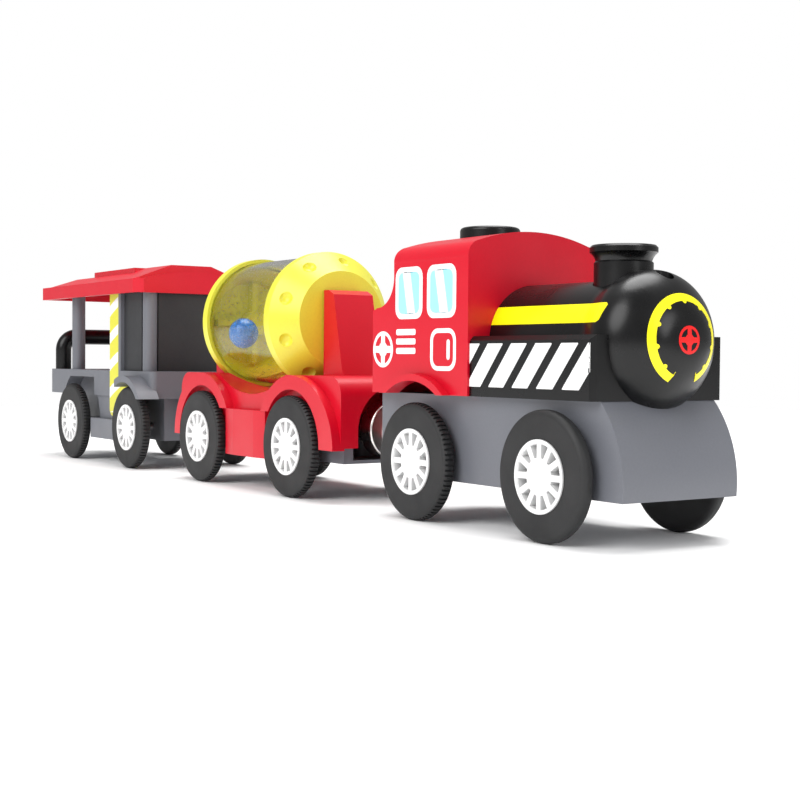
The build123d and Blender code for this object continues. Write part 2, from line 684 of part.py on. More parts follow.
red_body = lower_red
front_fender = side_profile(fender_outline(drum_x, red_front), red_half_width - 1, fender_half_width)
rear_fender = side_profile(fender_outline(-drum_rear_x, fender_outer_radius), red_half_width - 1,
                           fender_half_width)
rear_fender = mirror(rear_fender, about=Plane.YZ)
panel_rear, panel_front = drum_rear_x + fender_inner_radius, drum_x - fender_inner_radius
panel_low = underframe_bottom - 0.6
side_panel = block(panel_rear, panel_front, red_half_width - 1.2, fender_half_width, panel_low,
                   fender_end_height)
side_panel &= Pos((panel_rear + panel_front) / 2, fender_half_width + 0.2 - 75, 0) * Cylinder(75, 80)
side_pieces = front_fender + rear_fender + side_panel
red_body = red_body + both_sides(side_pieces)
cavity_half = red_half_width - red_wall
red_body -= block(red_rear_x + red_wall, red_front_x - red_wall, -cavity_half, cavity_half,
                  red_bottom - 6, underframe_top + 0.2)
red_body -= along_x(drum_rim_radius + 0.7, drum_rear_face - 0.3, drum_front_face + 0.3, 0,
                    drum_height)
red_body -= swing_arch(red_front_x - 18.5, red_front_x + 1)
red_body -= holder_slot(drum_rear_pivot, red_rear_x - 1)
red_body -= along_z(pivot_radius + 1.1, 0, magnet_height, drum_rear_pivot)
for x in (drum_x, drum_rear_x):
    red_body -= along_y(axle_radius + body_gap, -20, 20, x, wheel_radius)
    red_body -= along_y(wheel_radius + side_clearance, frame_half_width, 20, x, wheel_radius)
    red_body -= along_y(wheel_radius + side_clearance, -20, -frame_half_width, x, wheel_radius)


def upright(face_x, direction):
    """Wedge that carries one end of the drum; direction points away from the drum."""
    back = face_x + direction * upright_gap
    outline = Polyline((back, red_top - 5), (back, upright_top), (back + direction * 2.2, upright_top),
                       (back + direction * 4.6, upright_top - 1.1),
                       (back + direction * 9.3, red_top - 2), (back + direction * 9.3, red_top - 5),
                       close=True)
    wedge = side_profile(make_face(outline), -upright_half_width, upright_half_width)
    slanted = wedge.edges().filter_by(lambda e: abs(e.tangent_at(0.5).Z) > 0.9)
    outer = slanted.sort_by(lambda e: direction * e.center().X)[-2:]
    return chamfer(outer, 0.9)


red_body += upright(drum_front_face, 1) + upright(drum_rear_face, -1)
red_body -= Pos(drum_rear_face, 0, 0) * along_x(pivot_radius, -upright_gap - 2.4, 0, 0, drum_height)
red_body -= Pos(drum_front_face, 0, 0) * along_x(pivot_radius, 0, upright_gap + 2.4, 0, drum_height)
save("drum_wagon_body", red_body)

frame_rear, frame_front = red_rear_x + red_wall + 0.1, red_front_x - red_wall - 0.1
frame_half = cavity_half - 0.1
underframe = block(frame_rear, frame_front, -frame_half, frame_half, underframe_bottom,
                   underframe_top)
underframe -= block(frame_rear + 10.5, frame_front - 18.5, underframe_wall - frame_half,
                    frame_half - underframe_wall, underframe_bottom + underframe_wall, 30)
underframe -= swing_arch(frame_front - 17.5, frame_front + 1) & block(
    frame_front - 17.5, frame_front + 1, -20, 20, underframe_bottom + 0.8, 40)
underframe -= holder_slot(drum_rear_pivot, frame_rear - 1)
for x in (drum_x, drum_rear_x):
    underframe -= along_y(bearing_radius, -20, 20, x, wheel_radius)
underframe += pivot_pin(drum_front_pivot, underframe_bottom)
underframe += pivot_pin(drum_rear_pivot, underframe_bottom)
drum_screws = [(drum_x - 8.0, 0), (drum_rear_x + 10.0, 0)]
for x, y in drum_screws:
    underframe -= along_z(screw_radius, 0, 20, x, y)
    underframe -= along_z(screw_head_radius + 0.1, 0, underframe_bottom + 1.0, x, y)
save("drum_wagon_underframe", underframe)
save("drum_wagon_screws", [screw(x, y, underframe_bottom + 1.0) for x, y in drum_screws])


# ---- roofed wagon ---------------------------------------------------------------------
deck_front_x = cabin_x + deck_front
deck_rear_x = cabin_rear_x - deck_rear
front_post_x, rear_post_x = cabin_x + front_post, cabin_rear_x - rear_post
roof_front_x, roof_rear_x = cabin_x + roof_front, cabin_rear_x - roof_rear
panel_back = deck_half_width - panel_thickness
hazard_rear_x, hazard_front_x = cabin_x + hazard_rear, cabin_x + hazard_front
web_rear_x, web_front_x = cabin_rear_x + 12.8, cabin_x - wheel_radius - 1.4
lower_front_x, lower_rear_x = deck_front_x - 1.5, deck_rear_x + 5.5
arch_radius = 16.5

deck = block(deck_rear_x, deck_front_x, -deck_half_width, deck_half_width, deck_bottom, deck_top)
deck = fillet(deck.edges().filter_by(Axis.Z), 2.0)
deck -= block(cabin_rear_x - 7, web_rear_x, -20, 20, 0, deck_top - deck_plate)
arch_cut = along_y(arch_radius, -20, 20, cabin_rear_x, wheel_radius)
deck -= arch_cut & block(cabin_rear_x - 20, web_rear_x, -20, 20, 0, deck_top - deck_plate)
deck += block(lower_rear_x, lower_front_x, -lower_half_width, lower_half_width, lower_bottom,
              deck_top - 1)
web = block(web_rear_x, web_front_x, -panel_back, panel_back, wheel_radius, deck_bottom + 1)
deck += web - along_y(arch_radius, -20, 20, cabin_rear_x, wheel_radius)
step = block(cabin_rear_x + 13.5, web_front_x, -16.5, 16.5, 7.5, 13.6)
step = fillet(step.edges().filter_by(Axis.Z), 0.8)
deck += step
ring = Circle(mudguard_outer) - Circle(mudguard_inner)
guard = ring & Pos(-mudguard_tail, deck_bottom - wheel_radius) * Rectangle(
    40, 40, align=(Align.MIN, Align.MIN))
mudguard = side_profile(Pos(cabin_x, wheel_radius) * guard, panel_back - 1, mudguard_half_width)
deck += both_sides(mudguard)
lower_inner = lower_half_width - lower_wall
deck -= block(lower_rear_x + 9.5, lower_front_x - 9.5, -lower_inner, lower_inner, 0,
              deck_bottom - 1)
deck -= swing_arch(deck_rear_x - 1, deck_rear_x + 2.5)
deck -= holder_slot(tail_pivot, deck_rear_x - 1)
deck -= holder_slot(cabin_front_pivot, deck_front_x + 1)
strip = block(hazard_front_x, hazard_front_x + strip_width, panel_back - 1.6, deck_half_width,
              deck_top - 1, roof_eaves + 2)
deck += both_sides(strip)


def hazard_outline():
    """Tall stripe board with a foot that runs forward behind the wheel."""
    low, top, foot_top, foot_x = hazard_bottom, roof_eaves + 1.5, wheel_radius + 14.5, cabin_x - 2.0
    rear, front = hazard_rear_x, hazard_front_x
    corner = ThreePointArc((rear, low + 2.5), (rear + 0.73, low + 0.73), (rear + 2.5, low))
    rest = Polyline((rear + 2.5, low), (foot_x, low), (foot_x, foot_top), (front, foot_top),
                    (front, top), (rear, top), (rear, low + 2.5))
    return make_face(Curve() + [corner, rest])


hazard = side_profile(hazard_outline(), panel_back, deck_half_width)
deck -= both_sides(hazard)
for x in (cabin_x, cabin_rear_x):
    deck -= along_y(bearing_radius, -25, 25, x, wheel_radius)
deck += pivot_pin(tail_pivot, lower_bottom) + pivot_pin(cabin_front_pivot, lower_bottom)

rail_x = cabin_rear_x - rail_setback
rail_path = FilletPolyline((rail_x, -rail_y, deck_top - 1.5), (rail_x, -rail_y, rail_height),
                           (rail_x, rail_y, rail_height), (rail_x, rail_y, deck_top - 1.5),
                           radius=rail_bend)
rail = sweep(Plane(origin=(rail_x, -rail_y, deck_top - 1.5)) * Circle(rail_radius), path=rail_path)
deck -= rail
save("cabin_wagon_deck", deck)
save("handrail", rail)
save("hazard_panels", both_sides(hazard))
floor = block(lower_rear_x + 9.5, lower_front_x - 9.5, -lower_inner, lower_inner, lower_bottom,
              lower_bottom + lower_wall)
save("cabin_wagon_floor", floor)
ceiling = roof_eaves + fascia_height - roof_thickness
post_places = [(x, side * post_y) for x in (front_post_x, rear_post_x) for side in (-1, 1)]
save("roof_posts", [along_z(post_radius, deck_top, ceiling, x, y) for x, y in post_places])
side_panel_front = front_post_x - post_radius - seat_clearance
side_sheet = block(hazard_front_x + strip_width, side_panel_front, panel_back - 1.2,
                   panel_back - 0.6, deck_top, ceiling)
sheet_half = post_y - post_radius - seat_clearance
front_sheet = block(front_post_x, front_post_x + 1.2, -sheet_half, sheet_half, deck_top, ceiling)
save("cabin_walls", both_sides(side_sheet) + [front_sheet])

fascia_top = roof_eaves + fascia_height
roof = block(roof_rear_x, roof_front_x, -roof_half_width, roof_half_width, roof_eaves, fascia_top)
front_corners = roof.edges().filter_by(Axis.Z).group_by(Axis.X)[-1]
roof = chamfer(front_corners, roof_corner)
hip_low = Plane(origin=((roof_rear_x + roof_front_x) / 2, 0, fascia_top)) * Rectangle(
    roof_front_x - roof_rear_x - 8, 2 * roof_half_width - 1.6)
hip_high = Plane(origin=((roof_rear_x + roof_front_x) / 2 + 1, 0, roof_plateau)) * Rectangle(
    roof_front_x - roof_rear_x - 22, 2 * roof_half_width - 15)
roof += loft([hip_low.face(), hip_high.face()])
raised_half, raised_rear_x = 10.0, roof_rear_x + 19.0
raised_end = ThreePointArc((raised_rear_x + 8, -raised_half), (raised_rear_x, 0),
                           (raised_rear_x + 8, raised_half))
raised_sides = Polyline((raised_rear_x + 8, raised_half), (roof_front_x - 20, raised_half),
                        (roof_front_x - 20, -raised_half), (raised_rear_x + 8, -raised_half))
raised = make_face(Curve() + [raised_end, raised_sides])
roof += Pos(0, 0, fascia_top) * extrude(raised, amount=roof_block_top - fascia_top)
gable_half = 6.4
gable = end_profile(make_face(Polyline((-roof_half_width, fascia_top), (-gable_half, roof_block_top),
                                       (gable_half, roof_block_top), (roof_half_width, fascia_top),
                                       close=True)), roof_front_x - 27, roof_front_x - 0.9)
gable_plan = Polyline((roof_front_x, roof_corner - roof_half_width),
                      (roof_front_x - roof_corner, -roof_half_width),
                      (roof_front_x - 26.9, -gable_half), (roof_front_x - 26.9, gable_half),
                      (roof_front_x - roof_corner, roof_half_width),
                      (roof_front_x, roof_half_width - roof_corner),
                      close=True)
roof += gable & (Pos(0, 0, fascia_top - 1) * extrude(make_face(gable_plan), amount=10))
brow = Curve() + [ThreePointArc((2.2 - roof_half_width, fascia_top), (0, fascia_top + 2.4),
                                (roof_half_width - 2.2, fascia_top)),
                  Polyline((roof_half_width - 2.2, fascia_top), (0, fascia_top - 1),
                           (2.2 - roof_half_width, fascia_top))]
roof += end_profile(make_face(brow), roof_front_x - 2.5, roof_front_x)
roof -= block(roof_rear_x + roof_thickness, roof_front_x - roof_thickness,
              roof_thickness - roof_half_width, roof_half_width - roof_thickness, 0, ceiling)
save("cabin_roof", roof)
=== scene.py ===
import json
import math

import bmesh
import bpy
from mathutils import Matrix, Vector
from mathutils.bvhtree import BVHTree


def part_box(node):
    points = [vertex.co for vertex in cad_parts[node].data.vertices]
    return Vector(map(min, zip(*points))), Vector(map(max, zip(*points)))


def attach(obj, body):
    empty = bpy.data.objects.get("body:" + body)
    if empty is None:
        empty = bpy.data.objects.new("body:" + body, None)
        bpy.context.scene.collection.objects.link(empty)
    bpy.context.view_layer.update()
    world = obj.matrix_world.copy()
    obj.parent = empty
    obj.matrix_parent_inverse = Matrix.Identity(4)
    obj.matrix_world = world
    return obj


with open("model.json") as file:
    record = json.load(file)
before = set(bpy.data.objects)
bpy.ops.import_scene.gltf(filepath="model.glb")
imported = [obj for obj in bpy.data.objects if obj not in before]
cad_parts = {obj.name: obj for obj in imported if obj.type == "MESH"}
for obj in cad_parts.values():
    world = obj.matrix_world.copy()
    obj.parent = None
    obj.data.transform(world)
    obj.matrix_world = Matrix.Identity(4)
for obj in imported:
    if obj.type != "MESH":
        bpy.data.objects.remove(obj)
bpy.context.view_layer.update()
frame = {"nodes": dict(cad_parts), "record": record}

bl_info = {
    "name": "Toy Train Set",
    "version": (1, 0, 0),
    "blender": (4, 5, 0),
    "location": "3D View > Sidebar > Toy Train",
    "description": "Finishes, printed decorations and studio stage of a battery toy train with two wagons",
    "category": "Object",
}

MM = 0.001
INK_THICKNESS = 0.05 * MM
INK_SINK = 0.10 * MM
INK_EDGE = 0.9 * MM
HAZARD_EDGE = 0.35 * MM         # finer, so that a stripe is trimmed cleanly at the board's edge
FLOOR_HALF = 0.55

LOCO = "locomotive"
CABIN_WAGON = "cabin_wagon"


# ---------------------------------------------------------------- colours and sizes

class TrainColours(bpy.types.PropertyGroup):
    """Colours of the mouldings and printing inks, as sRGB hex values."""

    red: bpy.props.StringProperty(
        name="Red", description="Cab, drum wagon body and wagon roof", default="CC0222")
    grey: bpy.props.StringProperty(
        name="Grey", description="Chassis, wagon deck and posts", default="6A6C73")
    wall_grey: bpy.props.StringProperty(
        name="Wall grey", description="Dark cabin walls", default="26272A")
    black: bpy.props.StringProperty(
        name="Black", description="Boiler, buttons and handrail", default="060607")
    yellow: bpy.props.StringProperty(
        name="Yellow", description="Drum caps and hazard boards", default="DEDA3C")
    white: bpy.props.StringProperty(
        name="White", description="Wheel hubs", default="E8E8E8")
    rubber: bpy.props.StringProperty(
        name="Rubber", description="Tyres", default="1B1B1C")
    ball: bpy.props.StringProperty(
        name="Ball", description="Ball in the drum", default="1270CE")
    ink_yellow: bpy.props.StringProperty(
        name="Yellow ink", description="Boiler stripe and nose gauge", default="FFF000")
    ink_white: bpy.props.StringProperty(
        name="White ink", description="Window frames, louvres and slanted bars", default="F2F2F2")
    ink_blue: bpy.props.StringProperty(
        name="Blue ink", description="Window panes", default="9FE9FA")
    ink_red: bpy.props.StringProperty(
        name="Red ink", description="Valve wheel on the nose", default="EC1010")


class TrainSizes(bpy.types.PropertyGroup):
    """Sizes of the printed decorations."""

    bar_pitch: bpy.props.FloatProperty(
        name="Bar pitch", description="Distance between slanted bars on the side box",
        default=7.08 * MM, unit="LENGTH")
    bar_width: bpy.props.FloatProperty(
        name="Bar width", description="Width of one slanted bar",
        default=4.6 * MM, unit="LENGTH")
    gauge_radius: bpy.props.FloatProperty(
        name="Gauge radius", description="Middle radius of the ring on the nose",
        default=7.4 * MM, unit="LENGTH")
    gauge_beads: bpy.props.IntProperty(
        name="Gauge beads", description="Beads inside the ring on the nose", default=9, min=2)
    hazard_pitch: bpy.props.FloatProperty(
        name="Hazard pitch", description="Distance between stripes on the hazard boards",
        default=8.3 * MM, unit="LENGTH")


def sizes():
    return bpy.context.scene.train_sizes


def colours():
    return bpy.context.scene.train_colours


# ---------------------------------------------------------------- materials

def linear(hex_value):
    """An sRGB hex value as a linear RGBA colour."""
    parts = [int(hex_value[i:i + 2], 16) / 255 for i in (0, 2, 4)]
    return [c / 12.92 if c <= 0.04045 else ((c + 0.055) / 1.055) ** 2.4 for c in parts] + [1.0]


def add(tree, kind, inputs=None, **properties):
    """Adds a node; an input is either a value or the socket that feeds it."""
    node = tree.nodes.new(kind)
    for name, value in properties.items():
        setattr(node, name, value)
    for key, value in (inputs or {}).items():
        if isinstance(value, bpy.types.NodeSocket):
            tree.links.new(value, node.inputs[key])
        else:
            node.inputs[key].default_value = value
    return node


def shade(colour, factor):
    return [min(1.0, c * factor) for c in colour[:3]] + [1.0]


def surface(name, hex_value, roughness, grain, relief, spread=0.06, tint=0.06,
            stretch=(1, 1, 1), **settings):
    """One moulded, printed or metal finish.

    grain is the spacing of the fine surface texture and relief its height, both in metres.
    spread is how far the roughness wanders and tint how far the colour does, over a few millimetres.
    """
    material = bpy.data.materials.new(name)
    material.use_nodes = True
    tree = material.node_tree
    tree.nodes.clear()
    place = add(tree, "ShaderNodeTexCoord")
    spot = add(tree, "ShaderNodeMapping", {"Vector": place.outputs["Object"], "Scale": stretch})
    fine = add(tree, "ShaderNodeTexNoise", {"Vector": spot.outputs["Vector"],
                                            "Scale": 1 / grain, "Detail": 2.0})
    broad = add(tree, "ShaderNodeTexNoise", {"Vector": place.outputs["Object"],
                                             "Scale": 1 / (9 * MM), "Detail": 3.0})
    rough = add(tree, "ShaderNodeMapRange", {
        "Value": broad.outputs["Fac"], "From Min": 0.3, "From Max": 0.7,
        "To Min": max(0.02, roughness - spread), "To Max": min(1.0, roughness + spread)})
    base = linear(hex_value)
    colour = add(tree, "ShaderNodeMix", {
        "Factor": fine.outputs["Fac"], "A": shade(base, 1 - tint), "B": shade(base, 1 + tint)},
        data_type="RGBA")
    bump = add(tree, "ShaderNodeBump", {"Height": fine.outputs["Fac"], "Distance": relief,
                                        "Strength": 1.0})
    shader = add(tree, "ShaderNodeBsdfPrincipled", {
        "Base Color": colour.outputs["Result"], "Roughness": rough.outputs["Result"],
        "Normal": bump.outputs["Normal"]})
    for key, value in settings.items():
        shader.inputs[key.replace("_", " ")].default_value = value
    add(tree, "ShaderNodeOutputMaterial", {"Surface": shader.outputs["BSDF"]})
    return material


def window_plastic():
    """Clear polycarbonate, blow-moulded: fine seeds and haze in the wall catch the light."""
    material = surface("clear_polycarbonate_moulded", "FFFEF4", 0.04, 1.6 * MM, 0.003 * MM,
                       IOR=1.2, Transmission_Weight=1.0)
    tree = material.node_tree
    shader = tree.nodes["Principled BSDF"]
    place = tree.nodes["Texture Coordinate"]
    specks = add(tree, "ShaderNodeTexNoise", {"Vector": place.outputs["Object"],
                                              "Scale": 1 / (0.45 * MM), "Detail": 1.0})
    haze = add(tree, "ShaderNodeMapRange", {
        "Value": specks.outputs["Fac"], "From Min": 0.66, "From Max": 0.72,
        "To Min": 0.02, "To Max": 0.5})
    tree.links.new(haze.outputs["Result"], shader.inputs["Roughness"])
    return material


def make_materials():
    c = colours()
    made = {
        # ABS, injection-moulded in a lightly eroded mould: soft gloss, faint pebble, even colour
        "red_plastic": surface("red_abs_moulded", c.red, 0.34, 0.5 * MM, 0.004 * MM,
                               IOR=1.46),
        "grey_plastic": surface("grey_abs_moulded", c.grey, 0.42, 0.45 * MM, 0.006 * MM, IOR=1.54),
        "dark_plastic": surface("wall_abs_spark_eroded", c.wall_grey, 0.62, 0.4 * MM, 0.02 * MM,
                                IOR=1.54, tint=0.25),
        # ABS from a polished mould: deep gloss with only a trace of flow texture
        "black_plastic": surface("black_abs_polished", c.black, 0.3, 0.7 * MM, 0.002 * MM,
                                 IOR=1.42),
        "yellow_plastic": surface("yellow_abs_moulded", c.yellow, 0.36, 0.5 * MM, 0.006 * MM,
                                  IOR=1.54),
        "white_plastic": surface("white_abs_moulded", c.white, 0.32, 0.4 * MM, 0.003 * MM,
                                 IOR=1.54, tint=0.01),
        "blue_plastic": surface("blue_polypropylene_ball", c.ball, 0.25, 0.5 * MM, 0.003 * MM,
                                IOR=1.49),
        # thermoplastic rubber: matt and slightly dusty on the tread
        "black_rubber": surface("tyre_rubber_moulded", c.rubber, 0.62, 0.3 * MM, 0.012 * MM,
                                IOR=1.52, spread=0.1, tint=0.2),
        "gear_nylon": surface("natural_nylon_gear", "E4DFCB", 0.45, 0.35 * MM, 0.004 * MM,
                              IOR=1.53),
        # cold-drawn steel: fine lines along the rod
        "steel": surface("axle_steel_drawn", "B4B5B8", 0.3, 0.4 * MM, 0.003 * MM,
                         stretch=(1, 0.05, 1), Metallic=1.0),
        "nickel_plate": surface("magnet_nickel_plated", "E0DFDC", 0.3, 0.8 * MM, 0.002 * MM,
                                Metallic=1.0),
        "plated_steel": surface("can_steel_zinc_plated", "A7A9AB", 0.35, 0.6 * MM, 0.003 * MM,
                                Metallic=1.0),
        "brass": surface("contact_brass_sprung", "C9A24C", 0.3, 0.4 * MM, 0.002 * MM,
                         Metallic=1.0),
        "board_laminate": surface("board_glass_epoxy", "14582A", 0.38, 0.3 * MM, 0.003 * MM,
                                  IOR=1.55, tint=0.2),
        "clear_plastic": window_plastic(),
        # pad-printing ink: a thin satin film with a slight orange peel
        "ink_white": surface("pad_ink_white", c.ink_white, 0.38, 0.25 * MM, 0.002 * MM,
                             IOR=1.5, tint=0.02),
        "ink_yellow": surface("pad_ink_yellow", c.ink_yellow, 0.38, 0.25 * MM, 0.002 * MM,
                              IOR=1.5, tint=0.03),
        "ink_blue": surface("pad_ink_light_blue", c.ink_blue, 0.36, 0.25 * MM, 0.002 * MM,
                            IOR=1.5, tint=0.02),
        "ink_red": surface("pad_ink_red", c.ink_red, 0.36, 0.25 * MM, 0.002 * MM,
                           IOR=1.5, tint=0.03),
    }
    return made


FINISHES = {}


def finish_named(key):
    """The finish for a record slot or an ink, made on first use."""
    if not FINISHES:
        FINISHES.update(make_materials())
    return FINISHES[key]


# ---------------------------------------------------------------- shapes for printing

def rounded_box(u0, u1, v0, v1, radius, steps=6):
    """Outline of a rectangle with rounded corners."""
    corners = [(u1 - radius, v1 - radius, 0), (u0 + radius, v1 - radius, 90),
               (u0 + radius, v0 + radius, 180), (u1 - radius, v0 + radius, 270)]
    return [(u + radius * math.cos(math.radians(start + 90 * i / steps)),
             v + radius * math.sin(math.radians(start + 90 * i / steps)))
            for u, v, start in corners for i in range(steps + 1)]


def arc_points(cu, cv, radius, start, end, steps):
    return [(cu + radius * math.cos(math.radians(start + (end - start) * i / steps)),
             cv + radius * math.sin(math.radians(start + (end - start) * i / steps)))
            for i in range(steps + 1)]


def flat_shape(name, outlines):
    """A flat filled mesh in its own plane; an outline inside another is a hole."""
    curve = bpy.data.curves.new(name, "CURVE")
    curve.dimensions = "2D"
    curve.fill_mode = "BOTH"
    for outline in outlines:
        spline = curve.splines.new("POLY")
        spline.points.add(len(outline) - 1)
        for point, (u, v) in zip(spline.points, outline):
            point.co = (u, v, 0, 1)
        spline.use_cyclic_u = True
    holder = bpy.data.objects.new(name + "_outline", curve)
    mesh = bpy.data.meshes.new_from_object(holder)
    bpy.data.objects.remove(holder)
    bpy.data.curves.remove(curve)
    return mesh


def surface_of(node):
    """Search tree over a CAD node's surface."""
    mesh = frame["nodes"][node].data
    return BVHTree.FromPolygons([v.co for v in mesh.vertices],
                                [tuple(p.vertices) for p in mesh.polygons])


def press_on(mesh, tree, to_world, direction, longest=INK_EDGE, trim=False):
    """Lays a flat mesh onto a surface along a direction, as a pad prints it.

    With trim, ink that would miss the surface is left off."""
    bm = bmesh.new()
    bm.from_mesh(mesh)
    bmesh.ops.remove_doubles(bm, verts=bm.verts, dist=0.002 * MM)
    for _ in range(5):
        long_edges = [e for e in bm.edges if e.calc_length() > longest]
        if not long_edges:
            break
        bmesh.ops.subdivide_edges(bm, edges=long_edges, cuts=1)
        bmesh.ops.triangulate(bm, faces=bm.faces)
    reach = Vector(direction)
    missed = []
    for v in bm.verts:
        start = Vector(to_world(v.co.x, v.co.y)) - reach * 60 * MM
        hit, normal, _, _ = tree.ray_cast(start, reach)
        if hit is None and trim:
            missed.append(v)
            continue
        if hit is None:
            raise RuntimeError(f"{mesh.name}: nothing to print on at {start}")
        if normal.dot(reach) > 0:
            normal = -normal
        v.co = hit + normal * INK_THICKNESS
    bmesh.ops.delete(bm, geom=missed, context="VERTS")
    bm.normal_update()
    if sum(f.normal.dot(reach) * f.calc_area() for f in bm.faces) > 0:
        bmesh.ops.reverse_faces(bm, faces=bm.faces)
    bm.to_mesh(mesh)
    bm.free()
    return mesh


def thicken(obj):
    """Closes a sheet of ink into a thin solid, sunk a little into the plastic."""
    solid = obj.modifiers.new("film", "SOLIDIFY")
    solid.thickness = INK_SINK
    solid.offset = -1.0
    return obj


def bake_down(obj):
    """Replaces an object's modifiers with their result as a plain mesh."""
    graph = bpy.context.evaluated_depsgraph_get()
    result = bpy.data.meshes.new_from_object(obj.evaluated_get(graph))
    obj.modifiers.clear()
    old = obj.data
    obj.data = result
    bpy.data.meshes.remove(old)
    return obj


def new_piece(name, mesh, ink):
    obj = bpy.data.objects.new(name, mesh)
    bpy.context.scene.collection.objects.link(obj)
    mesh.materials.clear()
    mesh.materials.append(finish_named(ink))
    for polygon in mesh.polygons:
        polygon.material_index = 0
    return obj


def print_on(name, mesh, tree, to_world, direction, ink, body, slot, **how):
    """One printed patch: pressed on, thickened and tied to its body."""
    press_on(mesh, tree, to_world, direction, **how)
    obj = thicken(new_piece(name, mesh, ink))
    bake_down(obj)
    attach(obj, body)
    return obj


# ---------------------------------------------------------------- repeated shapes

def group_input(tree, name, kind, default):
    socket = tree.interface.new_socket(name=name, in_out="INPUT", socket_type=kind)
    if default is not None:
        socket.default_value = default
    return socket


def ink_output(tree, geometry, inputs):
    solid = add(tree, "GeometryNodeRealizeInstances", {"Geometry": geometry})
    inked = add(tree, "GeometryNodeSetMaterial", {"Geometry": solid.outputs["Geometry"],
                                                  "Material": inputs.outputs["Ink"]})
    add(tree, "NodeGroupOutput", {0: inked.outputs["Geometry"]})


def bar_row_tree():
    """Leaning bars set out along a line: count, pitch, width, height, lean and corner radius."""
    tree = bpy.data.node_groups.new("bar_row", "GeometryNodeTree")
    tree.interface.new_socket(name="Geometry", in_out="OUTPUT", socket_type="NodeSocketGeometry")
    group_input(tree, "Count", "NodeSocketInt", 3)
    group_input(tree, "Step", "NodeSocketVector", (MM, 0, 0))
    group_input(tree, "Width", "NodeSocketFloat", MM)
    group_input(tree, "Height", "NodeSocketFloat", MM)
    group_input(tree, "Lean", "NodeSocketFloat", 0.0)
    group_input(tree, "Corner", "NodeSocketFloat", 0.0)
    group_input(tree, "Ink", "NodeSocketMaterial", None)
    inputs = add(tree, "NodeGroupInput")
    outline = add(tree, "GeometryNodeCurvePrimitiveQuadrilateral", {
        "Width": inputs.outputs["Width"], "Height": inputs.outputs["Height"],
        "Offset": inputs.outputs["Lean"]}, mode="PARALLELOGRAM")
    soft = add(tree, "GeometryNodeFilletCurve", {
        "Curve": outline.outputs["Curve"], "Radius": inputs.outputs["Corner"]})
    if "Mode" in soft.inputs:
        soft.inputs["Mode"].default_value = "Poly"
    else:
        soft.mode = "POLY"
    soft.inputs["Count"].default_value = 5
    filled = add(tree, "GeometryNodeFillCurve", {"Curve": soft.outputs["Curve"]})
    row = add(tree, "GeometryNodeMeshLine", {"Count": inputs.outputs["Count"],
                                             "Offset": inputs.outputs["Step"]}, mode="OFFSET")
    laid = add(tree, "GeometryNodeInstanceOnPoints", {
        "Points": row.outputs["Mesh"], "Instance": filled.outputs["Mesh"]})
    ink_output(tree, laid.outputs["Instances"], inputs)
    return tree


def bead_ring_tree():
    """Round beads set out along an arc: count, radius, first angle, sweep and bead radius."""
    tree = bpy.data.node_groups.new("bead_ring", "GeometryNodeTree")
    tree.interface.new_socket(name="Geometry", in_out="OUTPUT", socket_type="NodeSocketGeometry")
    group_input(tree, "Count", "NodeSocketInt", 9)
    group_input(tree, "Radius", "NodeSocketFloat", MM)
    group_input(tree, "Start", "NodeSocketFloat", 0.0)
    group_input(tree, "Sweep", "NodeSocketFloat", 1.0)
    group_input(tree, "Bead", "NodeSocketFloat", 0.3 * MM)
    group_input(tree, "Ink", "NodeSocketMaterial", None)
    inputs = add(tree, "NodeGroupInput")
    arc = add(tree, "GeometryNodeCurveArc", {
        "Resolution": inputs.outputs["Count"], "Radius": inputs.outputs["Radius"],
        "Start Angle": inputs.outputs["Start"], "Sweep Angle": inputs.outputs["Sweep"]},
        mode="RADIUS")
    bead = add(tree, "GeometryNodeMeshCircle", {"Vertices": 14, "Radius": inputs.outputs["Bead"]},
               fill_type="NGON")
    laid = add(tree, "GeometryNodeInstanceOnPoints", {
        "Points": arc.outputs["Curve"], "Instance": bead.outputs["Mesh"]})
    ink_output(tree, laid.outputs["Instances"], inputs)
    return tree


def repeated(name, tree, values, ink):
    """The plain mesh that a tree makes from the given inputs."""
    seed_mesh = bpy.data.meshes.new(name + "_seed")
    obj = bpy.data.objects.new(name + "_maker", seed_mesh)
    bpy.context.scene.collection.objects.link(obj)
    modifier = obj.modifiers.new("repeat", "NODES")
    modifier.node_group = tree
    identifiers = {s.name: s.identifier for s in tree.interface.items_tree
                   if s.in_out == "INPUT"}
    for key, value in values.items():
        modifier[identifiers[key]] = value
    modifier[identifiers["Ink"]] = finish_named(ink)
    graph = bpy.context.evaluated_depsgraph_get()
    mesh = bpy.data.meshes.new_from_object(obj.evaluated_get(graph))
    bpy.data.objects.remove(obj)
    bpy.data.meshes.remove(seed_mesh)
    if not mesh.polygons:
        raise RuntimeError(f"{name}: the tree made no faces")
    mesh.name = name
    return mesh


def clip_flat(mesh, u0, u1, shift=(0, 0)):
    """Moves a flat mesh and cuts it off at two lines across its first axis."""
    bm = bmesh.new()
    bm.from_mesh(mesh)
    bmesh.ops.translate(bm, verts=bm.verts, vec=(shift[0], shift[1], 0))
    for limit, outward in ((u0, -1), (u1, 1)):
        bmesh.ops.bisect_plane(bm, geom=bm.verts[:] + bm.edges[:] + bm.faces[:],
                               plane_co=(limit, 0, 0), plane_no=(outward, 0, 0),
                               clear_outer=True)
    bm.to_mesh(mesh)
    bm.free()
    return mesh


def join_flat(name, meshes):
    """Several flat meshes as one."""
    bm = bmesh.new()
    for mesh in meshes:
        bm.from_mesh(mesh)
    joined = bpy.data.meshes.new(name)
    bm.to_mesh(joined)
    bm.free()
    return joined


# ---------------------------------------------------------------- pieces

def on_side(side):
    """Places a flat shape drawn in x and z on the train's side; -1 is the right side, 1 the left."""
    def to_world(u, v):
        return (u, side * 40 * MM, v)
    return to_world, (0, -side, 0)


